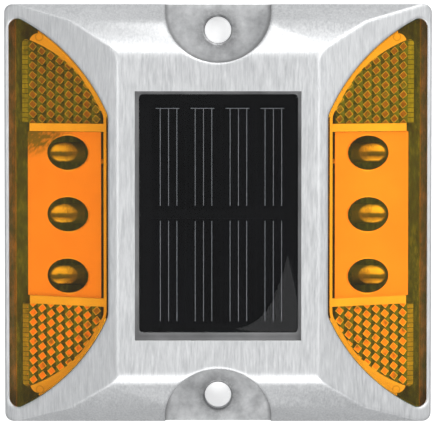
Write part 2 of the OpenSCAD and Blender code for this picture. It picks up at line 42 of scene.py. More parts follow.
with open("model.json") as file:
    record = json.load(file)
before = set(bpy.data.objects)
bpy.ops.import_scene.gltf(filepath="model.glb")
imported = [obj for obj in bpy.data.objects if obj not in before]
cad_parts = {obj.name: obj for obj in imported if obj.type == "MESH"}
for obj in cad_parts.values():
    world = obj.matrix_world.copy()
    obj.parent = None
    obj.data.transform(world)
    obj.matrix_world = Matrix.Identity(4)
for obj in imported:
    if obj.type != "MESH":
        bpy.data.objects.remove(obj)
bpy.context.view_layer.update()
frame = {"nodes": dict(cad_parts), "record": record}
nodes = frame["nodes"]


# ---------------------------------------------------------------- places, from the frame

housing_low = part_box("housing")[0]
lens_low, lens_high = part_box("lens_right")
plate_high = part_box("led_plate_right")[1]
prism_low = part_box("prism_plate_right_rear")[0]
panel_low, panel_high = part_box("panel_cover")
anchor = next(m for m in frame["record"]["mounts"] if m["name"] == "anchor_holes")

PANEL_CORNER_R = 1.0 * MM
CRISP_BORDER = 3.0 * MM
SHOULDER = 1.3 * MM

WELL_FLOOR = lens_low.z
LENS_OUTER_WALL = 1.9 * MM
LENS_SUNK = 0.25 * MM
PEG_PLACE = (43.3 * MM, 43.2 * MM, 0)

BOLT_Y = anchor["dims"]["spacing_y_mm"] * MM / 2
BOLT_SEAT = anchor["pos_m"][2]
RECESS_R = 13.0 * MM
RECESS_Y = 49.8 * MM

LAMP_R = 2.5 * MM
LAMP_PITCH = 15.0 * MM
MIDDLE_TO_DOME = 1.4 * MM
LAMP_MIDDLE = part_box("led_right_middle")[1].x - LAMP_R - MIDDLE_TO_DOME
CUP_X = 37.2 * MM
CUP_REACH = 3.5 * MM
HOLE_X = 36.0 * MM
HOLE_R = 4.2 * MM


def ramp_of(node):
    """(angle, height at x = 0) of the sloping top of a node on the right, from its widest flat face."""
    mesh = nodes[node].data
    sloping = [p for p in mesh.polygons if p.normal.z > 0.5 and p.normal.x > 0.3]
    widest = max(sloping, key=lambda p: p.area)
    angle = math.atan2(widest.normal.x, widest.normal.z)
    corner = mesh.vertices[widest.vertices[0]].co
    return angle, corner.z + corner.x * math.tan(angle)


RAMP_ANGLE, LENS_TOP_Z0 = ramp_of("lens_right")
PRISM_TOP_Z0 = ramp_of("prism_plate_right_rear")[1]
RAMP_Z0 = LENS_TOP_Z0 + LENS_SUNK / math.cos(RAMP_ANGLE)


def ramp_z(x):
    """Height of the body's ramp at a distance x from the middle."""
    return RAMP_Z0 - abs(x) * math.tan(RAMP_ANGLE)


# ---------------------------------------------------------------- material helpers


class Nodes:
    """A material's node tree, with short calls for the nodes that this scene uses."""

    def __init__(self, name):
        self.material = bpy.data.materials.new(name)
        self.material.use_nodes = True
        self.tree = self.material.node_tree
        self.shader = self.tree.nodes["Principled BSDF"]
        self.place = self.tree.nodes.new("ShaderNodeTexCoord").outputs["Object"]

    def node(self, kind, **values):
        made = self.tree.nodes.new(kind)
        for key, value in values.items():
            setattr(made, key, value)
        return made

    def put(self, value, socket):
        """Links another node's output to a socket, or sets a plain value on it."""
        if isinstance(value, bpy.types.NodeSocket):
            self.tree.links.new(value, socket)
        else:
            socket.default_value = value

    def maths(self, operation, *values):
        """Result of a Math node."""
        made = self.node("ShaderNodeMath", operation=operation)
        for value, socket in zip(values, made.inputs):
            self.put(value, socket)
        return made.outputs[0]

    def vector(self, operation, *values, result="Vector"):
        """Result of a Vector Math node."""
        made = self.node("ShaderNodeVectorMath", operation=operation)
        for value, socket in zip(values, made.inputs):
            self.put(value, socket)
        return made.outputs[result]

    def axes(self, vector):
        """X and Y of a vector."""
        made = self.node("ShaderNodeSeparateXYZ")
        self.put(vector, made.inputs["Vector"])
        return made.outputs["X"], made.outputs["Y"]

    def length(self, x, y):
        """Length of a vector with these X and Y."""
        made = self.node("ShaderNodeCombineXYZ")
        self.put(x, made.inputs["X"])
        self.put(y, made.inputs["Y"])
        return self.vector("LENGTH", made.outputs["Vector"], result="Value")

    def from_middle(self):
        """How far a point lies from the object's middle, along each axis."""
        return self.vector("ABSOLUTE", self.place)

    def flat_distance(self, point):
        """Distance in plan from a point and from its mirror images on the other sides and ends."""
        plan = self.vector("MULTIPLY", self.from_middle(), (1, 1, 0))
        return self.vector("DISTANCE", plan, point, result="Value")

    def from_lamp(self, y):
        """Signed distance along Y from the nearest of the three lamps.

        The place is shifted by whole lamps first, because the modulo has to be of a positive number.
        """
        shifted = self.maths("ADD", y, 2.5 * LAMP_PITCH)
        wrapped = self.maths("MODULO", shifted, LAMP_PITCH)
        return self.maths("SUBTRACT", wrapped, LAMP_PITCH / 2)

    def mapped(self, kind="POINT", **values):
        """The place after a Mapping node."""
        made = self.node("ShaderNodeMapping", vector_type=kind)
        for key, value in values.items():
            made.inputs[key.title()].default_value = value
        self.put(self.place, made.inputs["Vector"])
        return made.outputs["Vector"]

    def noise(self, scale, detail=4.0, roughness=0.55, size=(1, 1, 1), where=None):
        """Noise whose features are about 1 / scale metres across, squeezed by size along each axis."""
        made = self.node("ShaderNodeTexNoise")
        made.inputs["Scale"].default_value = scale
        made.inputs["Detail"].default_value = detail
        made.inputs["Roughness"].default_value = roughness
        self.put(self.mapped(scale=size) if where is None else where, made.inputs["Vector"])
        return made.outputs["Fac"]

    def ramp(self, source, *stops):
        """Colours along a 0 to 1 value: each stop is (place, colour)."""
        made = self.node("ShaderNodeValToRGB")
        elements = made.color_ramp.elements
        while len(elements) < len(stops):
            elements.new(0.5)
        for element, (place, colour) in zip(elements, stops):
            element.position = place
            element.color = (*colour, 1)
        self.put(source, made.inputs["Fac"])
        return made.outputs["Color"]

    def span(self, source, low, high, to_low, to_high, clamped=True):
        """A value from low to high, carried over to the range from to_low to to_high."""
        made = self.node("ShaderNodeMapRange", clamp=clamped)
        for key, value in (("From Min", low), ("From Max", high), ("To Min", to_low), ("To Max", to_high)):
            made.inputs[key].default_value = value
        self.put(source, made.inputs["Value"])
        return made.outputs["Result"]

    def mix(self, amount, first, second):
        """A blend of two colours, each another node's output or a plain colour."""
        made = self.node("ShaderNodeMix", data_type="RGBA")
        self.put(amount, made.inputs[0])
        for socket, colour in ((made.inputs[6], first), (made.inputs[7], second)):
            self.put(colour if isinstance(colour, bpy.types.NodeSocket) else (*colour, 1), socket)
        return made.outputs[2]

    def colour(self, source):
        self.put(source, self.shader.inputs["Base Color"])

    def rough(self, source, low, high):
        """Roughness from low to high over the middle of a noise's range."""
        self.put(self.span(source, 0.3, 0.7, low, high), self.shader.inputs["Roughness"])

    def bump(self, source, height, strength=1.0, under=None):
        """A relief of the given height in metres, over another relief where one is given."""
        made = self.node("ShaderNodeBump")
        made.inputs["Distance"].default_value = height
        made.inputs["Strength"].default_value = strength
        self.put(source, made.inputs["Height"])
        if under is not None:
            self.put(under, made.inputs["Normal"])
        self.put(made.outputs["Normal"], self.shader.inputs["Normal"])
        return made.outputs["Normal"]

    def set(self, **values):
        for key, value in values.items():
            name = key.replace("_", " ").title().replace("Ior", "IOR")
            self.shader.inputs[name].default_value = value


def shade(colour, factor):
    return tuple(min(1.0, c * factor) for c in colour)


def plastic(name, colour, rough=(0.35, 0.5), grain=2500, relief=0.015 * MM, variety=0.08, specular=0.5):
    """Moulded plastic or rubber: slight clouding, uneven gloss and a fine moulded grain."""
    m = Nodes(name)
    cloud = m.noise(90, detail=5)
    m.colour(m.ramp(cloud, (0.3, shade(colour, 1 - variety)), (0.7, shade(colour, 1 + variety))))
    m.rough(m.noise(400), *rough)
    m.bump(m.noise(grain, detail=2), relief, 0.5)
    m.set(specular_ior_level=specular)
    return m.material


def metal(name, colour, rough=(0.25, 0.4), streaks=(1, 1, 1), grain=900, relief=0.01 * MM, metallic=1.0):
    """Bare metal with fine streaks or grain."""
    m = Nodes(name)
    lines = m.noise(grain, detail=6, roughness=0.6, size=streaks)
    m.colour(m.ramp(lines, (0.3, shade(colour, 0.9)), (0.7, shade(colour, 1.05))))
    m.rough(lines, *rough)
    m.bump(lines, relief, 0.4)
    m.set(metallic=metallic)
    return m.material


def glowing_paper(name, colour, rough, glow):
    """Pale paper that gives off a little white light of its own."""
    made = plastic(name, colour, rough, variety=0.01)
    shader = made.node_tree.nodes["Principled BSDF"]
    shader.inputs["Emission Color"].default_value = (1, 1, 1, 1)
    shader.inputs["Emission Strength"].default_value = glow
    return made


# ---------------------------------------------------------------- materials


def cast_aluminium():
    """Die-cast aluminium, lightly brushed along Y, with faint tarnish and casting grain.

    Its edges are shaded as soft shoulders, except the crisp ones round the panel window.
    """
    m = Nodes("cast_aluminium")
    fine = m.noise(2300, detail=6, roughness=0.7, size=(1, 0.10, 0.6))
    broad = m.noise(420, detail=3, size=(1, 0.16, 0.5))
    tarnish = m.noise(60, detail=5, roughness=0.65)
    grain = m.noise(3800, detail=3)
    base = m.ramp(fine, (0.30, (0.62, 0.63, 0.64)), (0.70, (0.90, 0.905, 0.91)))
    base = m.mix(m.span(broad, 0.3, 0.7, 0.0, 0.3), base, (0.88, 0.885, 0.89))
    base = m.mix(m.span(tarnish, 0.45, 0.75, 0.0, 0.22), base, (0.58, 0.585, 0.59))
    m.colour(base)
    m.rough(fine, 0.40, 0.56)
    shoulders = m.node("ShaderNodeBevel", samples=8)
    shoulders.inputs["Radius"].default_value = SHOULDER
    crisp = (panel_high.x + CRISP_BORDER, panel_high.y + CRISP_BORDER, 1)
    share_x, share_y = m.axes(m.vector("DIVIDE", m.from_middle(), crisp))
    off_panel = m.span(m.maths("MAXIMUM", share_x, share_y), 0.99, 1.01, 0.0, 1.0)
    facing = m.node("ShaderNodeMix", data_type="VECTOR")
    m.put(off_panel, facing.inputs[0])
    m.put(m.node("ShaderNodeNewGeometry").outputs["Normal"], facing.inputs[4])
    m.put(shoulders.outputs["Normal"], facing.inputs[5])
    under = m.bump(grain, 0.012 * MM, 0.6, facing.outputs[1])
    m.bump(fine, 0.022 * MM, 0.6, under)
    m.set(metallic=0.72)
    return m.material


def recess_metal():
    """Bare, mottled casting in the bolt recesses.

    It is darker in a patchy ring round the bolt hole, and painted with shade in the corner under the
    recess's wall.
    """
    ring_inner = 3.4 * MM
    ring_outer = 6.2 * MM
    corner_shade_inner = RECESS_R - 0.9 * MM
    corner_shade_outer = RECESS_R - 0.1 * MM
    m = Nodes("recess_metal")
    mottle = m.noise(240, detail=6, roughness=0.7)
    base = m.ramp(mottle, (0.32, (0.56, 0.565, 0.57)), (0.66, (0.84, 0.845, 0.85)))
    from_bolt = m.vector("DISTANCE", m.from_middle(), (0, BOLT_Y, BOLT_SEAT), result="Value")
    # A patchy darker ring round the bolt hole.
    dark_ring = m.span(from_bolt, ring_inner, ring_outer, 0.85, 0.0)
    patchy = m.span(m.noise(700, detail=5, roughness=0.8), 0.35, 0.6, 0.35, 1.0)
    base = m.mix(m.maths("MULTIPLY", dark_ring, patchy), base, (0.22, 0.22, 0.225))
    from_centre = m.flat_distance((0, RECESS_Y, 0))
    # Painted shade in the corner under the recess's wall.
    corner = m.span(from_centre, corner_shade_inner, corner_shade_outer, 0.0, 0.75)
    m.colour(m.mix(corner, base, (0.30, 0.30, 0.305)))
    m.rough(mottle, 0.42, 0.62)
    m.bump(m.noise(3000, detail=4), 0.03 * MM, 0.6)
    m.set(metallic=0.72)
    return m.material


def well_coating():
    """Dark green lacquer inside the lens wells, streaked, and bare brownish metal at the foot, painted dark
    as the shade under the lens's outer wall.
    """
    greens = ((0.36, (0.015, 0.05, 0.06)), (0.50, (0.035, 0.10, 0.10)), (0.64, (0.11, 0.21, 0.14)))
    foot_shade_browns = ((0.36, (0.09, 0.12, 0.10)), (0.50, (0.22, 0.17, 0.15)), (0.64, (0.42, 0.26, 0.22)))
    foot = lens_high.x - LENS_OUTER_WALL
    m = Nodes("well_coating")
    away = m.maths("ABSOLUTE", m.axes(m.place)[0])
    streak = m.noise(650, detail=6, roughness=0.75, size=(1, 0.3, 1))
    green = m.ramp(streak, *greens)
    foot_shade_brown = m.ramp(m.noise(420, detail=6, roughness=0.75, size=(1, 0.4, 1)), *foot_shade_browns)
    # Past the foot, under the lens's outer wall, the bare metal is painted dark as shade.
    edge = m.span(away, foot - 0.3 * MM, foot + 0.2 * MM, 0.0, 1.0)
    m.colour(m.mix(edge, green, foot_shade_brown))
    m.rough(streak, 0.5, 0.8)
    m.bump(streak, 0.03 * MM, 0.6)
    return m.material


def amber():
    """Clear amber polycarbonate: its colour comes from what is seen through it."""
    m = Nodes("amber_lens")
    waviness = m.noise(120, detail=2)
    m.colour(m.ramp(waviness, (0.3, (0.95, 0.49, 0.032)), (0.7, (0.97, 0.53, 0.038))))
    m.set(transmission_weight=1.0, ior=1.49, roughness=0.02, specular_ior_level=0.25)
    m.bump(waviness, 0.02 * MM, 0.2)
    return m.material


def lamp_epoxy():
    """Clear epoxy with painted bands along it: the cup's painted golden reflection towards the rear,
    painted shade over the dark lead frame, and a painted highlight towards the front.

    The bands end in an oval ringed by painted shade, and darker folds, painted reflections of the cup, eat
    into their inner end.
    """
    dark = (0.08, 0.11, 0.07)
    cup_reflection_gold = (1.0, 0.98, 0.48)
    glint = (1.0, 1.0, 0.60)
    waver = 0.35 * MM
    fold = 1.4 * MM
    fold_reach = 2.5 * MM
    m = Nodes("lamp_epoxy")
    x, y = m.axes(m.place)
    away = m.maths("ABSOLUTE", x)
    across = m.maths("ADD", m.from_lamp(y), m.span(m.noise(500, detail=2), 0, 1, -waver, waver))
    # Painted light and shade across each lamp: a painted highlight towards the front, painted shade over
    # the lead frame, and the cup's painted golden reflection towards the rear.
    bands = m.ramp(
        m.span(across, -LAMP_R, LAMP_R, 0.0, 1.0),
        (0.04, dark),
        (0.13, glint),
        (0.24, shade(cup_reflection_gold, 0.55)),
        (0.36, dark),
        (0.52, shade(dark, 1.6)),
        (0.60, shade(cup_reflection_gold, 0.8)),
        (0.80, cup_reflection_gold),
        (0.97, shade(cup_reflection_gold, 0.4)),
    )
    # The darker folds at the inner end are painted reflections of the cup.
    folds = m.noise(420, detail=3, roughness=0.7, size=(2.2, 0.8, 1))
    reach = m.maths("ADD", away, m.span(folds, 0.3, 0.7, -fold, fold))
    inner_end = m.span(reach, LAMP_MIDDLE - fold_reach, LAMP_MIDDLE, 0.75, 0.0)
    folded = m.mix(inner_end, bands, (0.20, 0.20, 0.09))
    # Painted shade in a ring round the oval, where the hole's cavity lies in shade.
    oval_x = m.span(away, CUP_X - CUP_REACH, CUP_X + CUP_REACH, -1.0, 1.0, clamped=False)
    oval_y = m.span(across, -LAMP_R, LAMP_R, -1.0, 1.0, clamped=False)
    outside = m.span(m.length(oval_x, oval_y), 0.84, 0.98, 0.0, 1.0)
    m.colour(m.mix(outside, folded, (0.075, 0.12, 0.085)))
    m.set(transmission_weight=0.08, ior=1.5, roughness=0.08)
    return m.material


def lamp_plate():
    """Satin moulding with a painted highlight round each hole, and a dark streaked fan of painted shadow on
    the left one's outer rear corner.
    """
    fan_flatness = 0.55
    fan_inner = 1.0 * MM
    fan_outer = 6.6 * MM
    streak_slant = math.radians(42)
    highlight_inner = HOLE_R + 0.15 * MM
    highlight_outer = HOLE_R + 0.45 * MM
    m = Nodes("lamp_plate")
    base = m.ramp(m.noise(90, detail=5), (0.3, (0.88, 0.50, 0.36)), (0.7, (0.92, 0.53, 0.38)))
    # Painted shadow: a dark streaked fan spreading from the left plate's outer rear corner.
    from_corner = m.vector(
        "LENGTH",
        m.mapped(location=(plate_high.x * fan_flatness, -plate_high.y, 0), scale=(fan_flatness, 1, 0)),
        result="Value",
    )
    slanted = m.mapped("TEXTURE", rotation=(0, 0, streak_slant), scale=(7, 1, 1))
    streaks = m.noise(1500, roughness=0.5, where=slanted)
    near = m.span(from_corner, fan_inner, fan_outer, 1.6, 0.0)
    fan = m.maths("MULTIPLY", near, m.span(streaks, 0.40, 0.60, 0.45, 1.3))
    fan_shadowed = m.mix(fan, base, (0.17, 0.22, 0.14))
    x, y = m.axes(m.place)
    # A millimetre down the slope is less than a millimetre in plan.
    plan_step = math.cos(RAMP_ANGLE) * MM
    down_slope = m.span(m.maths("ABSOLUTE", x), HOLE_X, HOLE_X + plan_step, 0.0, MM, clamped=False)
    from_hole = m.length(down_slope, m.from_lamp(y))
    # Painted highlight round the rim of each hole.
    m.colour(m.mix(m.span(from_hole, highlight_inner, highlight_outer, 0.55, 0.0), fan_shadowed, (1.0, 0.92, 0.75)))
    m.rough(m.noise(400), 0.45, 0.6)
    m.bump(m.noise(2500, detail=2), 0.015 * MM, 0.4)
    return m.material


def reflector_moulding():
    """Pale moulding, with a peg's round outline near the outer end of each curved land."""
    black = (0, 0, 0)
    white = (1, 1, 1)
    m = Nodes("reflector_white")
    base = m.ramp(m.noise(90, detail=5), (0.3, (0.78, 0.72, 0.58)), (0.7, (0.88, 0.82, 0.66)))
    outline = m.ramp(
        m.span(m.flat_distance(PEG_PLACE), 0.6 * MM, 1.2 * MM, 0.0, 1.0),
        (0.10, black),
        (0.45, white),
        (0.60, white),
        (0.95, black),
    )
    m.colour(m.mix(m.span(outline, 0, 1, 0.0, 0.6), base, (0.45, 0.42, 0.22)))
    m.rough(m.noise(400), 0.3, 0.45)
    m.bump(m.noise(2500, detail=2), 0.015 * MM, 0.5)
    return m.material


def panel_resin():
    """Clear, slightly smoky casting resin, smooth on top."""
    m = Nodes("panel_epoxy")
    cloud = m.noise(60, detail=3)
    m.colour(m.ramp(cloud, (0.3, (0.40, 0.41, 0.43)), (0.7, (0.46, 0.47, 0.49))))
    m.bump(cloud, 0.005 * MM, 0.2)
    m.set(transmission_weight=1.0, ior=1.33, specular_ior_level=0.3, roughness=0.0)
    return m.material


def silicon():
    """Nearly black cells with long faint clouds."""
    m = Nodes("silicon")
    cloud = m.noise(140, detail=4, size=(1, 0.2, 1))
    m.colour(m.ramp(cloud, (0.35, (0.002, 0.002, 0.002)), (0.7, (0.005, 0.005, 0.006))))
    m.rough(cloud, 0.25, 0.4)
    m.set(specular_ior_level=0.04)
    return m.material


def circuit_board():
    """Green solder mask over traces that show as slightly lighter lines."""
    m = Nodes("circuit_board")
    traces = m.node("ShaderNodeTexBrick")
    traces.inputs["Scale"].default_value = 160
    traces.inputs["Mortar Size"].default_value = 0.03
    m.put(m.place, traces.inputs["Vector"])
    mask = m.ramp(m.noise(200), (0.3, (0.012, 0.075, 0.035)), (0.7, (0.018, 0.10, 0.045)))
    m.colour(m.mix(m.span(traces.outputs["Fac"], 0, 1, 0.0, 0.6), mask, (0.05, 0.20, 0.08)))
    m.rough(m.noise(300), 0.25, 0.4)
    m.bump(traces.outputs["Fac"], 0.03 * MM, 0.6)
    return m.material


def prism_plastic(name, bright, dull, duller_inside):
    """Diamond facets: mostly bright, with dull ones here and there, more of them towards the middle."""
    duller_width = 9 * MM
    m = Nodes(name)
    patch = m.noise(330, detail=2, roughness=0.5)
    away = m.maths("ABSOLUTE", m.axes(m.place)[0])
    inside = m.span(away, prism_low.x, prism_low.x + duller_width, duller_inside, 0.0)
    dulling = m.maths("ADD", patch, inside)
    m.colour(m.ramp(dulling, (0.52, bright), (0.60, shade(bright, 0.8)), (0.68, dull)))
    m.rough(m.noise(900), 0.2, 0.35)
    m.bump(m.noise(1500), 0.02 * MM, 0.3)
    return m.material


def prism_valley(name, low, high):
    """Other facets of the prism plates: valleys, outlines and lips, clouded between two colours."""
    m = Nodes(name)
    cloud = m.noise(420, detail=4, roughness=0.7)
    m.colour(m.ramp(cloud, (0.3, low), (0.7, high)))
    m.rough(cloud, 0.25, 0.4)
    m.bump(m.noise(1500), 0.02 * MM, 0.3)
    return m.material


MATERIALS = {
    "cast_aluminium": cast_aluminium(),
    "recess_metal": recess_metal(),
    "well_coating": well_coating(),
    "amber_lens": amber(),
    "reflector_white": reflector_moulding(),
    "lamp_plate": lamp_plate(),
    # The front and rear prism plates are one plastic, in a lit copy at the front and a copy painted in
    # shade at the rear.
    "prism_front": prism_plastic("prism_front", (1.0, 0.44, 0.15), (0.35, 0.26, 0.12), 0.12),
    "prism_rear": prism_plastic("prism_rear", (0.26, 0.18, 0.10), (0.15, 0.24, 0.18), 0.17),
    # Valley facets are painted in shade by which way they face, the darker ones in deeper painted shade.
    "prism_shaded": prism_valley("prism_shaded", (0.06, 0.17, 0.12), (0.13, 0.30, 0.18)),
    "prism_deep_shade": prism_valley("prism_deep_shade", (0.012, 0.05, 0.05), (0.04, 0.12, 0.10)),
    "prism_lip_front": prism_valley("prism_lip_front", (0.20, 0.28, 0.12), (0.42, 0.50, 0.22)),
    "prism_lip_rear": prism_valley("prism_lip_rear", (0.14, 0.25, 0.08), (0.36, 0.56, 0.16)),
    # Diamond outlines are a painted highlight along each edge, bright on the front copy and painted in
    # shade on the rear.
    "prism_outline_front": prism_valley("prism_outline_front", (1.0, 0.9, 0.5), (1.0, 1.0, 0.7)),
    "prism_outline_rear": prism_valley("prism_outline_rear", (0.45, 0.60, 0.25), (0.80, 0.85, 0.40)),
    "lamp_epoxy": lamp_epoxy(),
    "tinned_lead": metal("tinned_lead", (0.42, 0.40, 0.34)),
    "circuit_board": circuit_board(),
    "chip_black": plastic("chip_black", (0.018, 0.018, 0.020), (0.5, 0.65)),
    "panel_back": plastic("panel_back", (0.006, 0.006, 0.006), (0.5, 0.7), specular=0.04),
    "silicon": silicon(),
    "silver_finger": metal(
        "silver_finger", (0.42, 0.425, 0.43), (0.4, 0.55), (1, 0.5, 1), 2500, metallic=0.3
    ),
    "panel_epoxy": panel_resin(),
    "sealant_grey": plastic("sealant_grey", (0.17, 0.17, 0.172), (0.4, 0.6), 1500, 0.05 * MM, 0.3),
    "ferrite": metal("ferrite", (0.45, 0.20, 0.08), (0.3, 0.5), (0.2, 0.2, 4)),
    "capacitor_can": metal("capacitor_can", (0.70, 0.71, 0.74)),
    "plug_ivory": plastic("plug_ivory", (0.80, 0.76, 0.62)),
    "zinc_screw": metal("zinc_screw", (0.74, 0.74, 0.72), (0.25, 0.45)),
    "battery_steel": metal("battery_steel", (0.76, 0.77, 0.78), (0.2, 0.35), (0.1, 1, 1)),
    "battery_wrap": plastic("battery_wrap", (0.03, 0.20, 0.11), (0.2, 0.35)),
    "foam_pad": plastic("foam_pad", (0.05, 0.05, 0.055), (0.8, 0.95), 1200, 0.1 * MM, 0.3),
    "wire_red": plastic("wire_red", (0.45, 0.02, 0.015)),
    "wire_black": plastic("wire_black", (0.018, 0.018, 0.018)),
    "wire_yellow": plastic("wire_yellow", (0.70, 0.42, 0.02)),
    "gasket_rubber": plastic("gasket_rubber", (0.015, 0.015, 0.015), (0.6, 0.8)),
    "cover_plastic": plastic("cover_plastic", (0.045, 0.048, 0.052), (0.5, 0.7), 1800, 0.04 * MM, 0.15),
}

for part in frame["record"]["subparts"]:
    chosen = MATERIALS.get(part["material_slot"])
    if chosen is not None:
        mesh = nodes[part["node"]].data
        mesh.materials.clear()
        mesh.materials.append(chosen)


# ---------------------------------------------------------------- mesh helpers

SAME_POINT = 0.001 * MM
FLAT_ANGLE = math.radians(0.3)
EDGE_ANGLE = math.radians(25)


def merged_copy(node):
    """A copy of a CAD node as bmesh, with its doubled points merged."""
    bm = bmesh.new()
    bm.from_mesh(nodes[node].data)
    bmesh.ops.remove_doubles(bm, verts=bm.verts, dist=SAME_POINT)
    return bm


def make_object(name, bm):
    """Turns a bmesh into an object of the scene."""
    mesh = bpy.data.meshes.new(name)
    bm.to_mesh(mesh)
    bm.free()
    return add_to_scene(name, mesh)


def add_to_scene(name, data):
    """Makes an object of a mesh, light or camera, and links it to the scene."""
    thing = bpy.data.objects.new(name, data)
    bpy.context.scene.collection.objects.link(thing)
    return thing


def make_piece(name, bm, materials, replaced):
    """A visible piece of the marker, in place of one CAD node."""
    piece = make_object(name, bm)
    for material in materials:
        piece.data.materials.append(MATERIALS[material])
    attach(piece, BODY)
    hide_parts(replaced)
    return piece


def whole_faces(bm):
    """Joins the triangles of each flat face, where they have the same material."""
    bmesh.ops.dissolve_limit(
        bm,
        angle_limit=FLAT_ANGLE,
        verts=bm.verts,
        edges=bm.edges,
        delimit={"MATERIAL"},
    )


def soften(piece, width, segments=3):
    """Rounds the piece's sharp edges, and smooths the shading of its curved faces."""
    bevel = piece.modifiers.new("edges", "BEVEL")
    bevel.width = width
    bevel.segments = segments
    bevel.limit_method = "ANGLE"
    bevel.angle_limit = EDGE_ANGLE
    bevel.harden_normals = False
    bevel.use_clamp_overlap = True
    piece.data.shade_smooth()
    weighted = piece.modifiers.new("shading", "WEIGHTED_NORMAL")
    weighted.keep_sharp = True


# ---------------------------------------------------------------- cast body

NEAR = 0.05 * MM
WELL_MARGIN = 0.15 * MM
RIM_LEFT_BARE = 0.2 * MM
INNER_WALL_DEPTH = 1.0 * MM
LOWEST_SEAT = 1.0 * MM
UPRIGHT = 0.1
COATED = 1
BARE = 2


def is_coated(at, normal):
    """Whether a face of the housing is the floor or a lacquered wall of a lens well."""
    x = abs(at.x)
    beside_lens = lens_low.x - RIM_LEFT_BARE < x < lens_high.x + WELL_MARGIN
    in_plan = beside_lens and abs(at.y) < lens_high.y + WELL_MARGIN
    in_height = WELL_FLOOR - NEAR < at.z < ramp_z(x) - RIM_LEFT_BARE
    level = at.z < WELL_FLOOR + NEAR and normal.z > 0.9
    inner_wall = abs(normal.x) > 0.99 and x < lens_low.x + INNER_WALL_DEPTH
    coated_wall = abs(normal.z) < UPRIGHT and not inner_wall
    return in_plan and in_height and (level or coated_wall)


def is_in_recess(at, normal):
    """Whether a face of the housing is the seat or the wall of a bolt recess."""
    off_centre = math.hypot(at.x, min(0, abs(at.y) - RECESS_Y))
    in_plan = off_centre < RECESS_R + 2 * NEAR and abs(at.y) > RECESS_Y - RECESS_R - NEAR
    seat = LOWEST_SEAT < at.z < BOLT_SEAT + NEAR and normal.z > 0.5
    wall = at.z > BOLT_SEAT and abs(normal.z) < UPRIGHT
    return in_plan and (seat or wall)


def cast_body():
    """The housing, lacquered in its lens wells and bare in its bolt recesses."""
    bm = merged_copy("housing")
    for face in bm.faces:
        at = face.calc_center_median()
        if is_coated(at, face.normal):
            face.material_index = COATED
        if is_in_recess(at, face.normal):
            face.material_index = BARE
    whole_faces(bm)
    looks = ["cast_aluminium", "well_coating", "recess_metal"]
    piece = make_piece("cast_body", bm, looks, "housing")
    soften(piece, 0.25 * MM)


cast_body()


# ---------------------------------------------------------------- lenses, carriers and bottom cover


def softened(node, slot, width, segments=2):
    """A CAD node again, with its edges eased."""
    bm = merged_copy(node)
    whole_faces(bm)
    piece = make_piece(f"{node}_eased", bm, [slot], node)
    soften(piece, width, segments)
    return piece


for side in SIDES:
    lens = softened(f"lens_{side}", "amber_lens", 0.2 * MM, 3)
    lens.visible_shadow = False
    softened(f"reflector_frame_{side}", "reflector_white", 0.15 * MM)
    plate = softened(f"led_plate_{side}", "lamp_plate", 0.12 * MM)
    plate.visible_shadow = False

softened("base_cover", "cover_plastic", 0.15 * MM)


# ---------------------------------------------------------------- prism plates

COLUMN_PITCH = 2.275 * MM
ROW_PITCH = 2.36 * MM
FIRST_COLUMN = 45.15 * MM
FIRST_ROW = 24.4 * MM
COLUMNS = range(-2, 10)
ROWS_IN_COLUMN = range(-2, 11)
DIAMOND_X = 1.04 * MM
DIAMOND_Y = 1.08 * MM
PRISM_DEPTH = 0.5 * MM
FACETS_SUNK = 0.02 * MM
RIM = 0.16 * MM
SLAB = 0.3 * MM

LAST_FACET = 46.25 * MM
LIP_WIDTH = 3 * MM
LIP_PITCH = ROW_PITCH / 2
LIP_STEPS = range(15, 40)
LIP_SUNK = 0.15 * MM
CREST_SHARE = 0.86
NOTCH_DEPTH = 0.25 * MM

DIAMOND, SHADED, DEEP_SHADE, OUTLINE, LIP = range(5)


def prism_lattice():
    """Rows of tilted diamond facets with zigzag valleys between them, on the right rear, as bmesh."""
    down = Vector((math.sin(RAMP_ANGLE), 0, math.cos(RAMP_ANGLE)))
    bm = bmesh.new()
    made = {}

    def vertex(x, y, level):
        """A point of the plate's top face, let in by a share of the relief's depth."""
        key = (round(x / (0.01 * MM)), round(y / (0.01 * MM)))
        if key not in made:
            top = Vector((x, y, PRISM_TOP_Z0 - x * math.tan(RAMP_ANGLE)))
            made[key] = bm.verts.new(top - down * (FACETS_SUNK + (1 - level) * PRISM_DEPTH))
        return made[key]

    def facet(kind, *corners):
        bm.faces.new([vertex(*corner) for corner in corners]).material_index = kind

    half = ROW_PITCH / 2
    for column in COLUMNS:
        x = FIRST_COLUMN - column * COLUMN_PITCH
        for row in ROWS_IN_COLUMN:
            y = FIRST_ROW + (row - 0.5 * (column % 2)) * ROW_PITCH
            inner = (x, y - DIAMOND_Y, 0.0)
            outer = (x, y + DIAMOND_Y, 1.0)
            left = (x - DIAMOND_X, y, 0.5)
            right = (x + DIAMOND_X, y, 0.5)
            neck = (x, y + half, 0.15)
            next_inner = (x, y + ROW_PITCH - DIAMOND_Y, 0.0)
            before = (x - COLUMN_PITCH + DIAMOND_X, y + half, 0.5)
            after = (x + COLUMN_PITCH - DIAMOND_X, y + half, 0.5)
            # The valley facets round each diamond are painted in shade, darker on one side than the other,
            # by which way they face.
            facet(DIAMOND, left, inner, right, outer)
            facet(DEEP_SHADE, before, outer, neck)
            facet(SHADED, outer, after, neck)
            facet(DEEP_SHADE, after, next_inner, neck)
            facet(SHADED, next_inner, before, neck)
            facet(SHADED, right, after, outer)
            facet(DEEP_SHADE, right, (x + COLUMN_PITCH, y + half - DIAMOND_Y, 0.0), after)
            facet(DEEP_SHADE, left, outer, before)
            facet(SHADED, left, before, (x - COLUMN_PITCH, y + half - DIAMOND_Y, 0.0))
    bmesh.ops.remove_doubles(bm, verts=bm.verts, dist=SAME_POINT)
    return bm


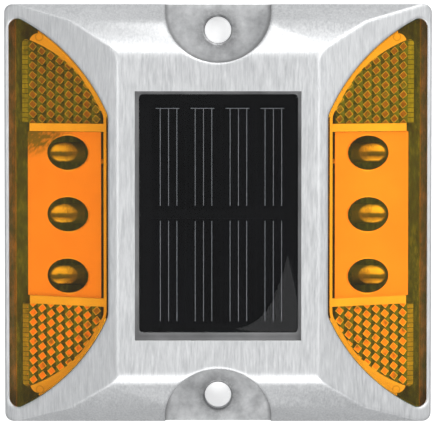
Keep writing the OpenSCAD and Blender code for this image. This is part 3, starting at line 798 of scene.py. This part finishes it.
def cut_beyond(bm, place, direction):
    """Cuts away what lies beyond a plane through a place, in the direction that it faces."""
    bmesh.ops.bisect_plane(
        bm,
        geom=bm.verts[:] + bm.edges[:] + bm.faces[:],
        plane_co=place,
        plane_no=direction,
        clear_outer=True,
    )


def cut_to_outline(bm, node):
    """Cuts away what lies outside the upright side faces of a node whose plan is convex."""
    for face in nodes[node].data.polygons:
        if abs(face.normal.z) < 0.01:
            cut_beyond(bm, face.center, face.normal)


def add_lip(bm):
    """Adds the lip beyond the last facets: crests in a row, with a short lower notch after each, painted in
    the valleys' deepest shade.
    """
    top = PRISM_TOP_Z0 - LAST_FACET * math.tan(RAMP_ANGLE) - LIP_SUNK
    across = Vector((1, 0, -math.tan(RAMP_ANGLE))) * LIP_WIDTH
    along = Vector((0, LIP_PITCH * CREST_SHARE, 0))
    gap = Vector((0, LIP_PITCH, 0))
    drop = Vector((0, 0, -NOTCH_DEPTH))
    for step in LIP_STEPS:
        start = Vector((LAST_FACET, step * LIP_PITCH, top))
        crest = (start, start + across, start + across + along, start + along)
        notch = (start + along, start + across + along, start + across + gap, start + gap)
        bm.faces.new([bm.verts.new(at) for at in crest]).material_index = LIP
        # The notch is painted in deep shade.
        bm.faces.new([bm.verts.new(at + drop) for at in notch]).material_index = DEEP_SHADE


def outline_diamonds(bm):
    """Gives each diamond facet a narrow rim of its own colour, a painted highlight along its edge."""
    diamonds = [f for f in bm.faces if f.material_index == DIAMOND]
    before = set(bm.faces)
    bmesh.ops.inset_individual(bm, faces=diamonds, thickness=RIM, depth=0)
    for face in bm.faces:
        if face not in before:
            face.material_index = OUTLINE


def prism_plate(side_name, end_name):
    """One prism plate, made on the right rear and mirrored to its own side and end."""
    bm = prism_lattice()
    cut_beyond(bm, (LAST_FACET, 0, 0), (1, 0, 0))
    add_lip(bm)
    cut_to_outline(bm, "prism_plate_right_rear")
    bm.normal_update()
    for face in bm.faces:
        if face.normal.z < 0:
            face.normal_flip()
    outline_diamonds(bm)
    bmesh.ops.scale(bm, vec=(SIDES[side_name], ENDS[end_name], 1), verts=bm.verts)
    if SIDES[side_name] * ENDS[end_name] < 0:
        bmesh.ops.reverse_faces(bm, faces=bm.faces)
    looks = [
        f"prism_{end_name}",
        "prism_shaded",
        "prism_deep_shade",
        f"prism_outline_{end_name}",
        f"prism_lip_{end_name}",
    ]
    node = f"prism_plate_{side_name}_{end_name}"
    piece = make_piece(f"prisms_{side_name}_{end_name}", bm, looks, node)
    slab = piece.modifiers.new("slab", "SOLIDIFY")
    slab.thickness = SLAB
    slab.offset = -1


for side_name in SIDES:
    for end_name in ENDS:
        prism_plate(side_name, end_name)


# ---------------------------------------------------------------- lamps

for side in SIDES:
    for row in ROWS:
        lamp = nodes[f"led_{side}_{row}"]
        lamp.visible_shadow = False
        lamp.data.shade_smooth()


# ---------------------------------------------------------------- solar panel


def rounded_slab(low, high, radius, steps=6):
    """A flat block with rounded upright corners, between two opposite corners, as bmesh."""
    outline = []
    for corner, (sx, sy) in enumerate(((1, 1), (-1, 1), (-1, -1), (1, -1))):
        centre_x = (high.x if sx > 0 else low.x) - sx * radius
        centre_y = (high.y if sy > 0 else low.y) - sy * radius
        for step in range(steps + 1):
            angle = math.radians(90 * (corner + step / steps))
            outline.append((centre_x + radius * math.cos(angle), centre_y + radius * math.sin(angle)))
    bm = bmesh.new()
    base = [bm.verts.new((x, y, low.z)) for x, y in outline]
    top = [bm.verts.new((x, y, high.z)) for x, y in outline]
    bm.faces.new(base)
    bm.faces.new(top)
    for index in range(len(outline)):
        after = (index + 1) % len(outline)
        bm.faces.new((base[index], base[after], top[after], top[index]))
    bmesh.ops.recalc_face_normals(bm, faces=bm.faces)
    return bm


def panel_face():
    """Clear resin poured over the cells: it starts just above the silver fingers."""
    grid_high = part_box("cell_grid")[1]
    low = Vector((panel_low.x, panel_low.y, grid_high.z + 0.03 * MM))
    bm = rounded_slab(low, panel_high, PANEL_CORNER_R)
    face = make_piece("panel_face", bm, ["panel_epoxy"], "panel_cover")
    soften(face, 0.25 * MM)
    face.visible_shadow = False


def sag_at(turn):
    """How deep the sealant's top sags between its edges: it wavers on the way round."""
    return (0.22 + 0.07 * math.sin(7 * turn) + 0.05 * math.sin(17 * turn + 1)) * MM


def sealant_bead(steps=44):
    """Sealant pressed into the gap round the panel: its top sags between the two edges and wavers."""
    low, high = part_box("panel_sealant")
    middle = (low + high) / 2
    centre = (panel_low + panel_high) / 2
    half_out = (high - low) / 2
    half_in = (panel_high - panel_low) / 2
    shares = (0, 0.12, 0.3, 0.5, 0.7, 0.88, 1)
    below_edges = 0.05 * MM

    def edge_points(index):
        """The points of the window's edge and of the panel's edge at one place round them."""
        side, step = divmod(index, steps)
        along = 2 * step / steps - 1
        ends = ((along, 1), (1, -along), (-along, -1), (-1, along))
        sx, sy = ends[side]
        outer = Vector((middle.x + sx * half_out.x, middle.y + sy * half_out.y))
        inner = Vector((sx * half_in.x, sy * half_in.y))
        round_x = half_in.x - PANEL_CORNER_R
        round_y = half_in.y - PANEL_CORNER_R
        if abs(inner.x) > round_x and abs(inner.y) > round_y:
            pivot = Vector((math.copysign(round_x, inner.x), math.copysign(round_y, inner.y)))
            inner = pivot + (inner - pivot).normalized() * PANEL_CORNER_R
        return outer, Vector((centre.x + inner.x, centre.y + inner.y))

    bm = bmesh.new()
    rings = []
    total = 4 * steps
    for index in range(total):
        outer, inner = edge_points(index)
        sag = sag_at(2 * math.pi * index / total)
        ring = [bm.verts.new((outer.x, outer.y, low.z))]
        for share in shares:
            at = outer.lerp(inner, share)
            dip = sag * 4 * share * (1 - share) + below_edges
            ring.append(bm.verts.new((at.x, at.y, high.z - dip)))
        ring.append(bm.verts.new((inner.x, inner.y, low.z)))
        rings.append(ring)
    for index in range(total):
        here = rings[index]
        there = rings[(index + 1) % total]
        for k in range(len(here)):
            after = (k + 1) % len(here)
            bm.faces.new((here[k], there[k], there[after], here[after]))
    bmesh.ops.recalc_face_normals(bm, faces=bm.faces)
    bead = make_piece("sealant_bead", bm, ["sealant_grey"], "panel_sealant")
    bead.data.shade_smooth()


panel_face()
sealant_bead()


# ---------------------------------------------------------------- floor, light and camera

CAMERA_DISTANCE = 750 * MM
CAMERA_TILT = math.radians(2.5)
CAMERA_CENTRE = Vector((-0.25 * MM, 0.05 * MM, 0))
VIEW_WIDTH = 107.37 * MM
SENSOR_WIDTH_MM = 36
FARTHEST_SEEN = 10

FLOOR_HALF = 1.5
FLOOR_GAP = 0.02 * MM
FLOOR_GLOW = 0.5
SKY_COLOUR = (0.96, 0.98, 1.0, 1)
SKY_STRENGTH = 0.32

CARD_HEIGHT = 600 * MM
CARD_GLOW = 0.75
CARD_STEPS = 12


def pale_floor():
    """A pale floor that glows a little, but neither lights the marker nor is mirrored in it."""
    bm = bmesh.new()
    bmesh.ops.create_grid(bm, x_segments=2, y_segments=2, size=FLOOR_HALF)
    floor = make_object("floor", bm)
    floor.location.z = housing_low.z - FLOOR_GAP
    floor.data.materials.append(glowing_paper("floor", (0.90, 0.90, 0.90), (0.8, 0.9), FLOOR_GLOW))
    floor.visible_diffuse = False
    floor.visible_glossy = False


def sky():
    """Even, faintly blue light from all round."""
    world = bpy.data.worlds.new("studio")
    world.use_nodes = True
    background = world.node_tree.nodes["Background"]
    background.inputs["Color"].default_value = SKY_COLOUR
    background.inputs["Strength"].default_value = SKY_STRENGTH
    bpy.context.scene.world = world


def softbox(name, place, size, power):
    """A rectangular light, aimed at the frame's origin."""
    data = bpy.data.lights.new(name, "AREA")
    data.shape = "RECTANGLE"
    data.size, data.size_y = size
    data.energy = power
    light = add_to_scene(name, data)
    light.location = place
    light.rotation_euler = (-Vector(place)).to_track_quat("-Z", "Y").to_euler()


def mirrored_card():
    """A bright curved card up by the camera, which the panel mirrors near its front right corner.

    Its outline is given where it shows on the panel, and carried up along the mirrored lines of sight.
    """
    apex = Vector((17.1, -9.4)) * MM
    bend = Vector((13.5, -26.0)) * MM
    tip = Vector((4.2, -27.2)) * MM
    outline = [Vector((20.5, -29.4)) * MM, Vector((20.2, -23.0)) * MM]
    for step in range(CARD_STEPS + 1):
        share = step / CARD_STEPS
        outline.append(apex.lerp(bend, share).lerp(bend.lerp(tip, share), share))
    spread = (CARD_HEIGHT - panel_high.z) / (CAMERA_DISTANCE * math.cos(CAMERA_TILT) - panel_high.z)
    eye = Vector((CAMERA_CENTRE.x, CAMERA_CENTRE.y + CAMERA_DISTANCE * math.sin(CAMERA_TILT)))
    bm = bmesh.new()
    corners = []
    for at in outline:
        moved = at + (at - eye) * spread
        corners.append(bm.verts.new((moved.x, moved.y, CARD_HEIGHT)))
    bm.faces.new(corners)
    card = make_object("card", bm)
    card.data.materials.append(glowing_paper("card", (0.9, 0.9, 0.9), (0.35, 0.5), CARD_GLOW))
    card.visible_camera = False
    card.visible_diffuse = False
    card.visible_shadow = False


def camera():
    """The camera, nearly straight above and tilted a little towards the rear."""
    data = bpy.data.cameras.new("camera")
    data.sensor_width = SENSOR_WIDTH_MM
    data.lens = data.sensor_width * CAMERA_DISTANCE / VIEW_WIDTH
    data.clip_end = FARTHEST_SEEN
    eye = add_to_scene("camera", data)
    away = Vector((0, math.sin(CAMERA_TILT), math.cos(CAMERA_TILT)))
    eye.location = CAMERA_CENTRE + away * CAMERA_DISTANCE
    eye.rotation_euler = (-CAMERA_TILT, 0, 0)
    bpy.context.scene.camera = eye


pale_floor()
sky()
softbox("rear", (0.25, 0.9, 0.35), (1.3, 0.5), 8.0)
softbox("right", (0.66, 0.3, 0.75), (0.5, 0.5), 3.0)
softbox("left", (-0.62, 0.1, 0.8), (0.5, 0.5), 2.0)
softbox("front", (0.0, -0.8, 0.6), (0.8, 0.4), 5.2)
mirrored_card()
camera()
bpy.context.scene.view_settings.view_transform = "Standard"
